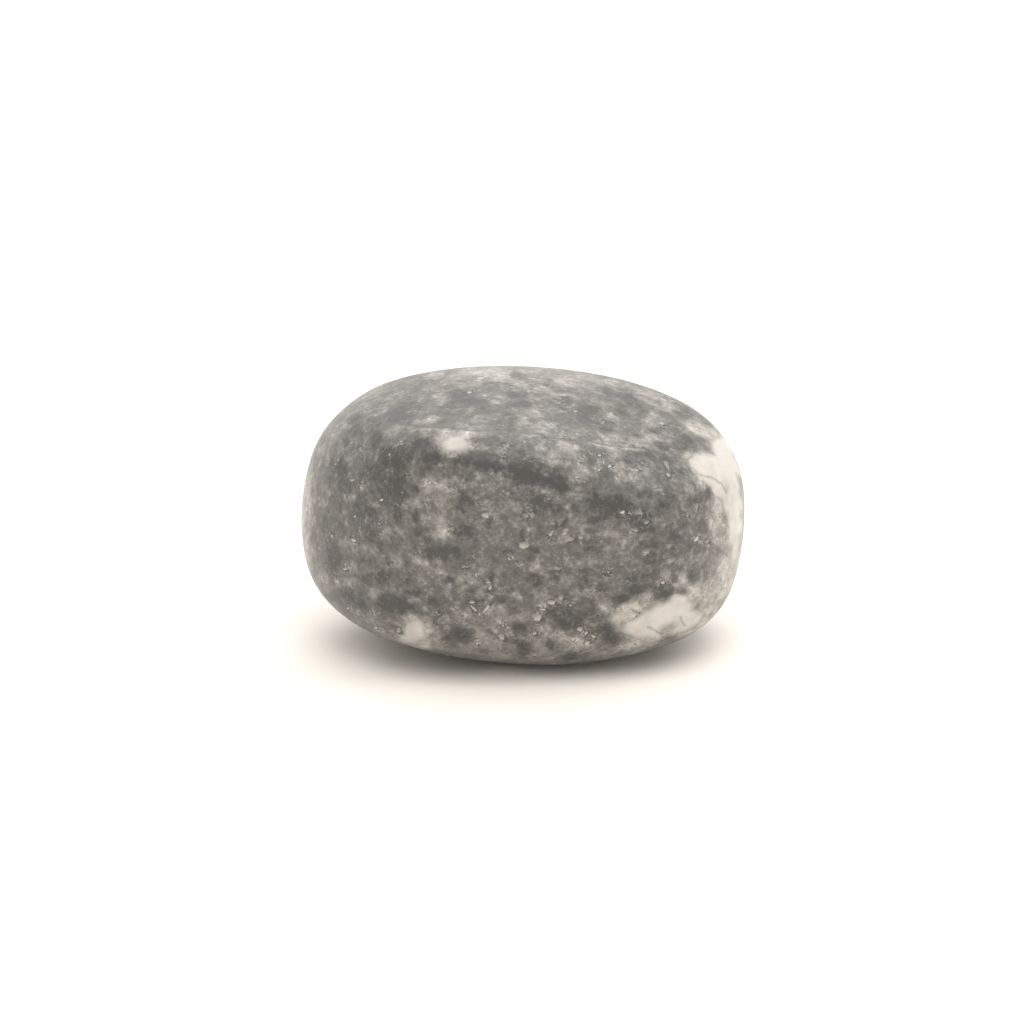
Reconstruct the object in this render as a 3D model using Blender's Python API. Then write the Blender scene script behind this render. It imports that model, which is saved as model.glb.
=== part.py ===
"""A tumbled bluestone: one solid pebble of mottled dolerite, worn to a rounded block.

The pebble lies on its widest side with its long axis along X and its broad front
face towards -Y. The origin is at the middle of its footprint, on the surface that
it rests on. Lengths are given in millimetres and turned into metres when points
are placed.
"""

import math

import bmesh
import bpy
from mathutils import Vector, noise

MM = 0.001

# The tumbled block's flats: name, azimuth and elevation of the way each one faces
# in degrees (azimuth 0 is -Y and 90 is +X), and its distance from the middle in mm.
WORN_FLATS = (
    ("front", 1, -5, 10.8),
    ("back", 178, 3, 10.3),
    ("right end", 98, -10, 14.6),
    ("left end", -82, 16, 16.2),
    ("top, left half", -92, 77, 10.2),
    ("top, right half", 71, 72, 9.4),
    ("underside, left half", -93, -77, 10.4),
    ("underside, right half", 103, -78, 9.6),
    ("upper right shoulder", 77, 38, 14.5),
    ("upper left shoulder", -89, 54, 17.2),
    ("lower right shoulder", 92, -46, 17.3),
    ("lower left shoulder", -87, -41, 15.8),
    ("front right corner", 48, -2, 13.4),
    ("front left corner", -46, 2, 14.0),
    ("back right corner", 136, 4, 14.3),
    ("back left corner", -132, -4, 14.8),
    ("brow above the front", 35, 52, 12.9),
    ("chin below the front", 17, -38, 12.6),
    ("chin on the left", -22, -62, 11.4),
    ("back upper edge", 170, 50, 12.0),
    ("back lower edge", 194, -50, 12.0),
)
# How crisp the edges between the flats stay: 2 is a ball, 20 a sharp block.
EDGE_CRISPNESS = 8.0

# Shallow dishes worn into the faces: name, azimuth, elevation, width and depth in mm.
DISHES = (
    ("back, left of the middle", -152, 14, 4.2, 0.42),
    ("back, low on the right", 158, -20, 3.4, 0.30),
    ("left end, low", -100, -16, 2.8, 0.20),
    ("top, towards the back", 150, 66, 3.2, 0.16),
)

# Low swells all over: height and length of one swell in mm, and where they start.
SWELL_HEIGHT = 0.14
SWELL_LENGTH = 6.5
SWELL_START = Vector((3.7, 1.9, 8.2))

# The resting flat: how far up from the lowest point the underside is level, in mm.
REST_DEPTH = 0.16

ICOSPHERE_STEPS = 5  # 5,120 triangles, about 0.9 mm each way

STONE_COLOUR = (0.205, 0.198, 0.180, 1.0)
STONE_ROUGHNESS = 0.38


def facing(azimuth, elevation):
    """The unit vector for an azimuth and an elevation in degrees."""
    turn = math.radians(azimuth)
    lift = math.radians(elevation)
    return Vector((
        math.sin(turn) * math.cos(lift),
        -math.cos(turn) * math.cos(lift),
        math.sin(lift),
    ))


FLATS = [(facing(azimuth, elevation), distance) for _, azimuth, elevation, distance in WORN_FLATS]


def block_radius(direction):
    """Distance from the middle to the block's surface, its edges rounded over."""
    total = 0.0
    for normal, distance in FLATS:
        reach = normal.dot(direction) / distance
        if reach > 0.0:
            total += reach ** EDGE_CRISPNESS
    return total ** (-1.0 / EDGE_CRISPNESS)


def dish_depth(point):
    """How deep the worn dishes are below a point of the block's surface."""
    depth = 0.0
    for _, azimuth, elevation, width, deepest in DISHES:
        way = facing(azimuth, elevation)
        centre = way * block_radius(way)
        depth += deepest * math.exp(-((point - centre).length / width) ** 2)
    return depth


def surface_point(direction):
    """The pebble's surface in a direction from its middle, in mm."""
    point = direction * block_radius(direction)
    swell = SWELL_HEIGHT * noise.noise(point / SWELL_LENGTH + SWELL_START)
    return point + direction * (swell - dish_depth(point))


def level_underside(mesh):
    """Level the underside where it rests, and give the height of that flat."""
    floor = min(vert.co.z for vert in mesh.verts) + REST_DEPTH
    for vert in mesh.verts:
        vert.co.z = max(vert.co.z, floor)
    return floor


def centre_on_footprint(mesh, floor):
    """Put the origin under the middle of the pebble, on the flat, in metres."""
    reach_x = [vert.co.x for vert in mesh.verts]
    reach_y = [vert.co.y for vert in mesh.verts]
    origin = Vector((
        (min(reach_x) + max(reach_x)) / 2.0,
        (min(reach_y) + max(reach_y)) / 2.0,
        floor,
    ))
    for vert in mesh.verts:
        vert.co = (vert.co - origin) * MM


def stone_material():
    """Polished grey dolerite."""
    material = bpy.data.materials.new("polished dolerite")
    material.use_nodes = True
    shader = material.node_tree.nodes["Principled BSDF"]
    shader.inputs["Base Color"].default_value = STONE_COLOUR
    shader.inputs["Roughness"].default_value = STONE_ROUGHNESS
    shader.inputs["Metallic"].default_value = 0.0
    return material


def bluestone():
    """The whole pebble, one closed solid."""
    shape = bmesh.new()
    bmesh.ops.create_icosphere(shape, subdivisions=ICOSPHERE_STEPS, radius=1.0)
    for vert in shape.verts:
        vert.co = surface_point(vert.co.normalized())
    floor = level_underside(shape)
    centre_on_footprint(shape, floor)
    mesh = bpy.data.meshes.new("bluestone")
    shape.to_mesh(mesh)
    shape.free()
    mesh.shade_smooth()
    mesh.materials.append(stone_material())
    stone = bpy.data.objects.new("bluestone", mesh)
    bpy.context.scene.collection.objects.link(stone)
    return stone


def main():
    for leftover in list(bpy.data.objects):
        bpy.data.objects.remove(leftover)
    bluestone()


main()
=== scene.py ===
import math
import random

import bpy
import numpy as np
from bpy.props import FloatProperty, FloatVectorProperty, IntProperty, PointerProperty
from bpy.types import Operator, Panel, PropertyGroup
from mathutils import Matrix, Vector, noise
from mathutils.bvhtree import BVHTree


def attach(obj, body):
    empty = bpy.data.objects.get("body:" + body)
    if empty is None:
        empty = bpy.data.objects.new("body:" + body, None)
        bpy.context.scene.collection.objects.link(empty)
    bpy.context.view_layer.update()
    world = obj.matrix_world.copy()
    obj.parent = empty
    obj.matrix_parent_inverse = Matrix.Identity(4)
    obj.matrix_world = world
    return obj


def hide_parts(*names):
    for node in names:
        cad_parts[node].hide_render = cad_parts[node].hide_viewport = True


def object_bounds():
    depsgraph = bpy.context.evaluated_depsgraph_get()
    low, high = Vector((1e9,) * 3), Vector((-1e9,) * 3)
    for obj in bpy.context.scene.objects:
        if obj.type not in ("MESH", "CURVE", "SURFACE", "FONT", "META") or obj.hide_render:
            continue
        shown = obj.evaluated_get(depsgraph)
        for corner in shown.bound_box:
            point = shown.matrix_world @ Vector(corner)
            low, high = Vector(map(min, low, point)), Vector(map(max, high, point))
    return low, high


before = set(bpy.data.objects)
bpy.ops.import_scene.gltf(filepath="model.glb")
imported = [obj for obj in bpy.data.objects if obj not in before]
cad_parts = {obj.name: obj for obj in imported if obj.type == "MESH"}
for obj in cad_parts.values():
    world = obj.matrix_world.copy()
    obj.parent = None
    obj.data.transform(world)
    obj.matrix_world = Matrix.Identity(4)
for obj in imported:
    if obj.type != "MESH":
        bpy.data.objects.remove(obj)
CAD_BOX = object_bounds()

bl_info = {
    "name": "Bluestone pebble",
    "version": (1, 0, 0),
    "blender": (4, 5, 0),
    "location": "3D View > Sidebar > Bluestone",
    "description": "Finishes a tumbled bluestone pebble and sets it on a pale floor",
    "category": "Object",
}

MM = 0.001
NODE = "bluestone"
STONE_MIDDLE = (CAD_BOX[0] + CAD_BOX[1]) / 2.0

# The camera: it looks along +Y and down at the pebble.
CAMERA_DROP = math.radians(17.5)
CAMERA_DISTANCE = 260.0 * MM
CAMERA_LENS_MM = 135.0
CAMERA_SENSOR_MM = 36.0
CAMERA_CLIP = (0.01, 10.0)  # metres: the nearest and the furthest that it sees
CAMERA_AIM = Vector((-0.7, 0.0, 9.4)) * MM
SIGHT = Vector((0.0, math.cos(CAMERA_DROP), -math.sin(CAMERA_DROP)))
ACROSS = Vector((1.0, 0.0, 0.0))
UP = ACROSS.cross(SIGHT)
EYE = CAMERA_AIM - SIGHT * CAMERA_DISTANCE

# Softboxes round the pebble: name, place in metres and share of the light.
SOFTBOXES = (
    ("softbox_back", (0.0, 0.18, 0.30), 0.34),
    ("softbox_front", (0.0, -0.18, 0.30), 0.31),
    ("softbox_left", (-0.20, 0.0, 0.28), 0.07),
    ("softbox_right", (0.20, 0.0, 0.28), 0.28),
)
SOFTBOX_COLOUR = (1.0, 0.985, 0.955)
DOME_COLOUR = (1.0, 0.98, 0.94, 1.0)
FLOOR_ROUGHNESS = 0.9

# Markings on the side that the camera sees. Each is an oval: how far across and up from
# the camera's line of sight its middle lies, its half length and half width, all in mm,
# how pale it is (1 is white feldspar, -1 the darkest mineral) and, where it leans, its turn
# in degrees.
# A few of the marks below are painted rim reflections or painted shade; the comments beside them say which.
TOP_LEFT_MARKS = (
    (-5.3, 9.3, 0.7, 0.25, 0.65, 8), (-7.0, 8.6, 0.4, 0.3, 0.3, 20), (-8.3, 7.5, 0.5, 0.25, 0.3, 30),
    (-4.85, 7.6, 0.6, 0.28, 0.55, -30), (-7.6, 6.5, 0.9, 0.45, -0.6, 10), (-8.6, 6.9, 0.3, 0.2, 0.35, 20),
    (-10.6, 5.5, 0.5, 0.4, -0.48), (-9.2, 5.1, 0.35, 0.4, -0.6), (-11.2, 4.7, 0.25, 0.35, -0.6),
    (-8.0, 5.4, 0.5, 0.3, 0.35, 30), (-6.7, 5.4, 0.3, 0.25, 0.4), (-6.4, 6.4, 0.3, 0.3, 0.2),
    (-5.4, 6.35, 0.7, 0.2, 0.8, 15), (-6.5, 6.05, 0.5, 0.12, 0.4, 5), (-6.8, 4.8, 0.35, 0.2, 0.45, 20),
    (-12.6, 4.0, 0.3, 0.5, 0.35, -20), (-10.8, 3.5, 0.5, 0.35, 0.3, 40), (-11.7, 3.2, 0.4, 0.4, -0.65),
    (-8.2, 3.4, 0.5, 0.4, -0.75), (-8.4, 4.3, 0.35, 0.2, -0.65), (-7.4, 4.3, 0.3, 0.3, -0.48),
    (-6.1, 4.7, 0.5, 0.3, -0.66), (-9.3, 4.6, 0.3, 0.18, -0.66, -35), (-9.5, 3.8, 0.5, 0.3, 0.2),
    (-6.9, 7.3, 0.6, 0.25, -0.42), (-5.0, 6.5, 0.4, 0.25, -0.42), (-9.3, 6.1, 0.6, 0.35, -0.48, 10),
    (-10.6, 6.3, 0.5, 0.3, -0.36, 20), (-12.6, 5.0, 0.6, 1.2, 0.3, -30), (-8.8, 8.2, 0.8, 0.35, 0.3, 25),
    (-5.3, 3.7, 0.4, 0.28, -0.9), (-5.5, 3.5, 0.7, 0.3, -0.45), (-12.2, 5.8, 1.0, 0.9, 0.25, 40),
    (-10.0, 7.7, 1.8, 0.4, 0.3, 38), (-7.4, 8.0, 0.6, 0.16, 0.4, 30),
)
TOP_MIDDLE_MARKS = (
    (-1.6, 9.35, 1.1, 0.3, 0.65, -12), (-3.2, 9.3, 1.0, 0.25, 0.55, 5), (-0.6, 9.2, 0.5, 0.2, 0.55),
    # The first two marks below, long and narrow along the top crest, are painted rim reflections.
    (-0.5, 9.75, 3.0, 0.3, 0.5), (4.5, 9.3, 3.0, 0.25, 0.45, -10), (-2.4, 8.75, 0.6, 0.2, 0.6, 20),
    (-3.5, 8.6, 0.6, 0.2, 0.5, -20), (0.3, 9.3, 0.4, 0.3, -0.36), (3.9, 8.8, 1.1, 0.35, 0.45, -8),
    (2.3, 8.25, 0.7, 0.18, 0.6, -20), (3.3, 7.95, 0.7, 0.12, 0.5), (2.4, 8.8, 0.35, 0.3, -0.36),
    (-3.3, 7.6, 0.8, 0.4, -0.6), (-2.2, 7.4, 0.5, 0.4, -0.48), (-1.1, 7.4, 0.45, 0.16, 0.6, -15),
    (0.0, 7.0, 0.3, 0.2, 0.4), (3.5, 7.5, 0.5, 0.4, -0.6), (3.5, 6.85, 0.4, 0.12, 0.65, 10),
    (4.8, 6.8, 0.35, 0.2, -0.6), (1.5, 6.65, 0.6, 0.2, 0.55, -10), (2.0, 7.0, 0.6, 0.3, 0.2),
    (0.6, 6.1, 0.35, 0.5, 0.35, -25), (2.4, 6.0, 0.7, 0.18, 0.5), (2.6, 5.8, 0.35, 0.14, 0.65),
    (1.7, 5.7, 0.6, 0.3, 0.2), (-1.8, 6.4, 0.8, 0.25, 0.35), (-2.6, 6.3, 0.2, 0.25, 0.4),
    (-3.6, 6.3, 0.4, 0.2, 0.25), (-0.3, 6.2, 0.5, 0.5, -0.48), (-1.3, 5.9, 0.5, 0.25, -0.48),
    (-4.3, 5.7, 0.3, 0.12, -0.7, -10), (1.3, 5.9, 0.8, 0.8, 0.25), (-1.3, 7.8, 0.7, 0.3, 0.25),
    (0.8, 7.3, 0.6, 0.25, -0.3), (-4.3, 7.2, 0.5, 0.25, -0.42), (0.3, 7.9, 0.7, 0.25, -0.42),
    (5.1, 7.0, 0.7, 0.3, -0.48), (-3.6, 8.1, 0.5, 0.2, -0.36), (-4.6, 6.6, 3.2, 0.8, -0.14),
    (1.0, 8.4, 7.0, 0.9, 0.14), (-0.4, 6.0, 2.4, 0.5, -0.12), (3.6, 7.6, 0.35, 0.06, 0.5),
    (3.4, 7.3, 0.3, 0.05, 0.45), (-2.6, 6.35, 0.12, 0.25, 0.45),
)
BROW_MARKS = (
    (-2.3, 5.2, 0.5, 0.2, 0.2), (-2.2, 4.5, 0.7, 0.25, 0.35), (-0.8, 4.3, 0.5, 0.3, 0.35),
    (2.2, 5.1, 0.4, 0.18, -0.3, -25), (3.6, 4.4, 0.8, 0.35, 0.65), (4.3, 4.1, 0.4, 0.4, 0.55),
    (2.8, 3.7, 0.35, 0.5, 0.4), (1.9, 4.3, 0.4, 0.2, 0.3), (3.9, 5.25, 0.7, 0.14, 0.35),
    (1.3, 5.2, 0.4, 0.14, 0.35), (0.7, 4.0, 0.25, 0.15, -0.45, -40), (0.2, 5.5, 1.4, 0.45, -0.4),
    (-3.9, 3.5, 0.4, 0.2, -0.8, -10), (-1.85, 3.55, 0.4, 0.3, -0.8), (-2.6, 3.4, 0.35, 0.25, -0.8, 10),
    (-1.5, 3.1, 0.45, 0.16, -0.8, -5), (-2.0, 3.95, 0.7, 0.18, -0.5), (0.1, 3.1, 0.35, 0.32, -0.8),
    (0.85, 3.15, 0.5, 0.25, -0.8), (1.85, 3.05, 0.25, 0.2, -0.8), (-3.2, 3.6, 0.6, 0.3, -0.45),
    (-4.7, 4.9, 0.45, 0.35, 0.6), (-3.2, 4.5, 0.5, 0.4, 0.6), (-3.95, 4.62, 1.05, 0.62, 0.88, -3),
    (-3.2, 5.25, 0.7, 0.28, 0.72, 5), (-1.9, 3.5, 1.3, 0.6, -0.5, -5), (0.9, 2.85, 1.5, 0.7, -0.55, -15),
    (2.9, 3.3, 0.8, 0.35, 0.3, -15), (-0.5, 3.4, 0.35, 0.35, 0.25), (0.45, 3.45, 0.2, 0.08, 0.4),
    (-4.9, 5.15, 0.5, 0.3, 0.45, 10),
)
TOP_RIGHT_MARKS = (
    (6.5, 8.1, 0.45, 0.35, -0.42), (7.6, 7.9, 0.6, 0.3, -0.48, -20), (6.6, 8.8, 0.7, 0.2, 0.35),
    (6.9, 6.45, 0.6, 0.18, 0.75, -30), (7.4, 6.9, 0.4, 0.3, -0.48), (6.4, 5.8, 0.5, 0.3, -0.66),
    (9.3, 6.25, 0.4, 0.15, 0.5, 10), (9.6, 6.6, 0.3, 0.14, 0.5, -25), (9.6, 5.1, 0.5, 0.2, 0.45, -20),
    (8.9, 6.7, 0.4, 0.2, -0.42), (8.4, 5.2, 0.3, 0.15, -0.48), (10.2, 4.5, 0.6, 0.18, -0.66, -15),
    (11.4, 4.6, 0.4, 0.35, -0.65), (11.8, 5.1, 0.4, 0.2, -0.55, -15), (10.5, 7.3, 0.7, 0.4, 0.35, -35),
    (9.4, 8.0, 0.7, 0.3, 0.4, -25), (9.9, 7.4, 0.3, 0.15, -0.36, -45), (11.6, 6.7, 0.5, 0.4, -0.42),
    (6.9, 3.9, 0.45, 0.35, 0.5), (6.7, 4.4, 0.5, 0.2, 0.35), (7.4, 3.1, 0.35, 0.3, 0.25),
    (7.0, 5.0, 0.9, 0.35, 0.25), (8.6, 3.8, 0.4, 0.3, -0.66, -35), (7.9, 3.6, 0.3, 0.3, -0.42),
    (9.4, 3.8, 0.6, 0.2, -0.6, -40), (10.3, 3.6, 0.4, 0.2, -0.4, -35), (11.6, 2.7, 0.4, 0.25, -0.5),
    (9.6, 3.2, 0.3, 0.2, 0.25), (6.2, 4.8, 0.9, 0.4, 0.3), (8.8, 4.7, 1.0, 0.3, 0.3),
    (5.2, 6.5, 0.7, 0.55, -0.36), (9.5, 6.0, 0.8, 0.5, 0.3), (8.2, 7.5, 0.6, 0.22, -0.36, -20),
    (10.6, 6.5, 0.6, 0.25, -0.3, -20), (9.8, 5.6, 0.6, 0.25, -0.42), (11.0, 5.7, 0.5, 0.3, -0.36, -20),
    (9.6, 7.6, 1.4, 0.5, 0.3, -25), (7.4, 8.4, 1.4, 0.35, 0.25, -15), (9.6, 4.4, 2.0, 0.8, 0.15),
    (11.0, 6.3, 1.5, 1.1, 0.2, -30), (6.0, 4.58, 0.7, 0.12, 0.5, -10), (7.3, 4.36, 0.8, 0.13, 0.5, -6),
    (8.5, 4.28, 0.5, 0.1, 0.35, -5), (12.2, 5.0, 1.0, 0.9, 0.2, -35), (8.2, 4.2, 0.9, 0.6, 0.15),
)
RIGHT_END_MARKS = (
    (13.6, 3.1, 1.5, 0.9, 1.0, -10), (14.3, 4.4, 0.8, 0.9, 0.95, -20), (12.7, 3.4, 0.7, 0.6, 0.9),
    (13.3, 2.3, 0.8, 0.5, 0.9, -35), (14.0, 1.5, 0.5, 0.7, 0.95, 15), (14.9, 2.6, 0.4, 1.2, 0.95, 10),
    (12.6, 5.7, 0.8, 0.5, 0.75, -30), (13.6, 5.3, 0.6, 0.5, 0.8, -40), (12.1, 3.7, 0.5, 0.5, 0.6),
    (14.0, 0.6, 0.4, 0.8, 0.8), (13.8, -0.6, 0.4, 0.7, 0.6), (14.3, -1.5, 0.5, 1.5, 0.45),
    (14.2, -4.0, 0.5, 1.5, 0.5, -10), (14.6, -4.6, 0.5, 1.6, 0.8, -15), (13.55, 5.8, 0.8, 0.1, -0.4, -40),
    (13.35, 4.15, 0.3, 0.12, -0.4, -30), (11.9, 4.65, 0.6, 0.4, -0.45, -20),
    # The last mark below, tall and narrow at the right rim, is a painted rim reflection over the white end.
    (13.2, 1.4, 0.3, 0.35, -0.5, -30), (14.1, -2.7, 0.2, 0.4, -0.3), (15.1, -0.5, 0.45, 3.6, 0.95),
    (14.3, 2.6, 0.7, 1.2, 0.95), (14.6, 0.8, 0.5, 0.9, 0.85), (14.0, -1.2, 0.5, 1.3, 0.4),
    (12.5, 1.6, 0.8, 0.7, 0.35), (11.8, 2.6, 0.6, 0.4, 0.2), (14.1, -4.3, 0.6, 1.6, 0.5, -12),
    (12.3, 2.3, 0.9, 0.8, 0.3, -35),
)
LEFT_MARKS = (
    (-12.9, 1.6, 0.25, 0.35, 0.4), (-12.3, 1.3, 0.3, 0.25, 0.35), (-12.7, 0.6, 0.25, 0.25, 0.35),
    (-13.6, 0.0, 0.2, 0.35, 0.35), (-11.6, 2.8, 0.5, 0.5, -0.35), (-11.3, 1.7, 0.4, 0.6, -0.3),
    (-10.5, 1.7, 0.4, 0.3, 0.25), (-10.7, 0.95, 0.3, 0.3, 0.4), (-8.7, -0.1, 0.4, 0.5, 0.2),
    (-9.1, 0.5, 0.25, 0.2, 0.45), (-8.4, 1.7, 0.8, 0.7, -0.45), (-7.7, -0.1, 0.35, 0.6, -0.4),
    (-6.4, 1.5, 0.25, 0.25, -0.8), (-9.6, -1.0, 0.6, 0.9, -0.35), (-10.6, 0.3, 0.4, 0.3, -0.3),
    (-5.45, 1.7, 0.9, 0.75, 0.38), (-4.6, 1.7, 0.7, 0.5, 0.35), (-6.6, 0.6, 0.6, 0.4, 0.5),
    (-5.6, 0.5, 0.3, 0.2, -0.25), (-7.0, -0.8, 0.3, 0.8, 0.3), (-7.4, -1.3, 0.4, 0.4, 0.3),
    (-6.4, -1.2, 0.3, 0.35, -0.55), (-6.5, -0.3, 0.25, 0.4, -0.45), (-5.8, -0.3, 0.3, 0.2, 0.45),
    (-5.5, -0.9, 0.25, 0.3, 0.35), (-4.7, -1.05, 0.5, 1.0, 0.75), (-5.7, -1.9, 0.3, 0.3, -0.55),
    (-5.2, -2.8, 0.8, 0.4, -0.65), (-9.4, -2.5, 0.3, 0.4, 0.4), (-9.9, -2.3, 0.25, 0.15, 0.4),
    (-7.7, -2.7, 0.3, 0.5, 0.35), (-6.7, -3.1, 0.5, 0.3, 0.3), (-8.3, -1.3, 0.4, 0.3, 0.25),
    (-11.4, -2.1, 0.5, 0.3, 0.25), (-10.8, -2.7, 0.5, 0.3, 0.25), (-12.0, -2.9, 0.5, 0.5, -0.35),
    (-9.8, -3.3, 0.5, 0.2, -0.25), (-9.5, 2.6, 0.7, 0.45, -0.4), (-7.9, 1.2, 0.7, 0.8, -0.5),
    (-9.6, 0.1, 0.6, 0.4, -0.35), (-7.8, 3.9, 1.0, 0.6, -0.5), (-6.3, 4.3, 0.9, 0.4, -0.5, -15),
    (-5.3, 0.7, 1.1, 1.6, 0.25), (-4.3, 0.0, 0.8, 0.9, 0.15), (-10.6, -0.9, 1.1, 1.2, -0.16),
)
MIDDLE_MARKS = (
    (-2.0, 2.4, 0.5, 0.3, 0.25), (-1.0, 2.3, 0.6, 0.3, 0.2), (2.5, 1.4, 0.5, 0.2, 0.3),
    (-1.5, 0.3, 0.7, 0.5, 0.2), (-0.6, -1.1, 0.35, 0.3, 0.3), (-3.05, 0.85, 0.6, 0.18, -0.55, -50),
    (-3.5, 0.3, 0.4, 0.25, -0.55), (-3.3, -1.4, 0.6, 0.45, -0.75), (-1.5, -0.8, 0.2, 0.4, -0.5, 35),
    (1.9, 0.4, 0.6, 0.4, -0.55), (3.0, 0.2, 0.4, 0.3, -0.45), (4.3, 0.3, 0.25, 0.25, -0.45),
    (3.6, -0.8, 0.18, 0.4, -0.45, -35), (0.7, -1.5, 0.25, 0.4, -0.45), (-4.3, -2.8, 0.8, 0.5, -0.65),
    (1.6, -2.6, 0.35, 0.2, -0.4), (-0.2, -2.7, 0.4, 0.3, -0.3), (4.0, 2.3, 0.4, 0.35, 0.5),
    (4.7, 2.5, 0.5, 0.5, 0.5), (2.0, 0.5, 1.0, 0.6, -0.45, -10), (-3.0, -3.2, 0.8, 0.3, -0.3),
    (4.9, -1.2, 0.4, 0.4, 0.2), (-2.6, 1.9, 0.5, 0.4, 0.3), (0.75, 2.75, 0.45, 0.2, -0.8),
    (1.35, 2.5, 0.5, 0.26, -0.8, -20), (1.75, 2.25, 0.5, 0.2, -0.8, -10), (2.5, 2.05, 0.5, 0.18, -0.8, -10),
    (3.2, 2.25, 0.35, 0.16, -0.8, -30), (3.45, 1.6, 0.35, 0.25, -0.8), (1.15, 1.4, 0.4, 0.22, -0.65),
    (0.7, 3.3, 0.9, 0.2, -0.35), (2.7, 2.1, 1.0, 0.5, -0.4, -20), (-0.4, 2.4, 0.2, 0.1, -0.5),
    (0.3, 2.25, 0.25, 0.12, -0.6, 20), (-1.0, 2.85, 0.3, 0.12, -0.6), (2.1, 1.7, 0.2, 0.1, -0.6),
    (3.0, 2.75, 0.25, 0.1, -0.6, -20), (3.7, 2.15, 0.15, 0.15, -0.7), (1.5, 2.85, 0.16, 0.12, 0.6),
    (2.25, 2.5, 0.25, 0.09, 0.5, -20), (-0.05, 2.6, 0.12, 0.12, 0.4), (1.0, 2.3, 0.1, 0.08, 0.4),
    (2.95, 1.8, 0.2, 0.07, 0.5), (-1.3, 3.65, 0.12, 0.2, 0.6, 20), (-0.7, 3.4, 0.1, 0.12, 0.6),
)
RIGHT_MARKS = (
    (5.5, -0.6, 0.4, 0.25, -0.65), (10.2, 0.5, 0.3, 0.18, -0.55, 20), (9.2, 1.2, 0.7, 0.25, -0.4),
    (8.7, 1.7, 0.3, 0.2, 0.3), (9.6, 1.7, 0.3, 0.2, 0.3), (8.1, 2.4, 0.35, 0.3, 0.35),
    (11.1, -1.6, 0.45, 0.25, -0.75, -50), (12.5, 0.8, 0.4, 0.25, -0.35), (6.5, -1.6, 0.7, 0.3, 0.35),
    (7.5, -1.5, 0.6, 0.3, 0.3), (5.5, -3.3, 0.5, 0.3, 0.25), (5.5, -2.4, 0.5, 0.45, -0.6),
    (9.3, -2.1, 0.6, 0.3, -0.5), (9.5, -3.2, 0.6, 0.35, -0.6), (5.2, -1.3, 0.3, 0.2, -0.35),
    (13.0, -1.0, 0.4, 0.5, -0.4), (12.5, -2.4, 0.6, 0.3, -0.4), (12.9, -3.9, 0.35, 0.8, -0.3, -10),
    (6.4, 2.5, 0.5, 0.6, -0.35), (5.3, 3.5, 0.5, 0.35, -0.4), (10.2, 2.4, 0.5, 0.4, -0.35),
    (7.2, -2.3, 0.7, 0.4, 0.1), (11.6, -3.4, 0.5, 0.4, 0.35), (8.2, 2.4, 0.6, 0.4, 0.2),
    (4.8, -4.4, 0.35, 0.9, -0.4, -10), (5.2, -3.4, 0.5, 0.4, 0.3), (11.6, -2.0, 1.1, 1.3, -0.15),
    (6.0, 0.5, 0.45, 0.28, -0.8), (7.0, 0.5, 0.4, 0.35, -0.8), (7.25, 0.05, 0.5, 0.22, -0.8, -10),
    (7.4, 0.9, 0.3, 0.12, -0.8), (8.15, -0.5, 0.45, 0.22, -0.8, -30), (8.7, -0.9, 0.4, 0.24, -0.8, -20),
    (9.2, -0.2, 0.45, 0.18, -0.8), (9.3, -0.55, 0.2, 0.18, -0.8), (5.75, 1.1, 0.2, 0.24, -0.8),
    (6.15, -0.3, 0.3, 0.14, -0.7), (6.8, 0.4, 1.4, 0.7, -0.5, -10), (8.6, -0.5, 1.1, 0.6, -0.5, -25),
    (6.55, 0.5, 0.12, 0.2, 0.5), (7.9, 0.1, 0.2, 0.1, 0.5), (8.3, -0.1, 0.25, 0.12, 0.55, -20),
    (8.9, -0.55, 0.1, 0.15, 0.6, 40), (5.4, 0.7, 0.15, 0.1, -0.6), (7.9, 0.5, 0.2, 0.12, -0.6),
    (5.0, 0.2, 0.2, 0.1, -0.5), (9.7, -0.3, 0.15, 0.1, -0.6), (9.5, -1.2, 0.2, 0.15, -0.6),
    (6.9, 0.3, 0.9, 0.3, -0.45, -15),
)
LOW_LEFT_MARKS = (
    (-12.8, -4.4, 0.35, 0.45, 0.4), (-12.4, -5.3, 0.3, 0.3, 0.35), (-12.3, -3.5, 0.5, 0.4, -0.3),
    (-10.8, -3.8, 0.5, 0.22, 0.35), (-10.8, -4.75, 0.6, 0.22, 0.4, -10), (-9.2, -4.5, 0.9, 0.4, -0.55),
    (-11.3, -5.4, 0.5, 0.3, -0.35), (-10.7, -6.3, 0.4, 0.3, -0.4), (-9.8, -6.4, 0.25, 0.25, -0.35),
    (-9.2, -5.5, 0.4, 0.35, 0.4), (-8.6, -5.2, 0.25, 0.3, 0.35), (-9.6, -6.9, 0.6, 0.25, 0.25),
    (-7.7, -5.2, 0.35, 0.25, 0.25), (-7.9, -6.3, 1.2, 0.55, -0.65, -10), (-6.6, -5.4, 0.6, 0.22, -0.55),
    (-6.7, -6.0, 0.3, 0.22, 0.5), (-5.3, -6.1, 0.5, 0.28, -0.65), (-6.6, -8.1, 0.8, 0.95, 0.9),
    (-6.9, -7.2, 0.4, 0.4, 0.8), (-7.3, -8.6, 0.5, 0.35, 0.85, -20), (-5.8, -7.8, 0.4, 0.6, 0.7),
    (-5.9, -9.0, 0.4, 0.3, 0.7), (-7.3, -7.9, 0.18, 0.3, -0.7, 20), (-4.35, -5.3, 0.22, 0.35, 0.6),
    (-4.3, -4.7, 0.3, 0.22, -0.6), (-5.9, -3.5, 0.5, 0.2, 0.4, 20), (-6.4, -3.3, 0.4, 0.3, 0.35),
    (-7.7, -3.4, 0.3, 0.4, 0.35), (-8.4, -3.4, 0.25, 0.3, -0.35), (-8.5, -8.4, 0.5, 0.12, 0.3, -35),
    (-12.3, -5.7, 0.5, 0.4, -0.35), (-10.9, -5.9, 0.8, 0.5, -0.35), (-12.0, -3.2, 0.5, 0.5, -0.35),
    (-6.3, -9.05, 0.6, 0.35, 0.75),
)
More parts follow.
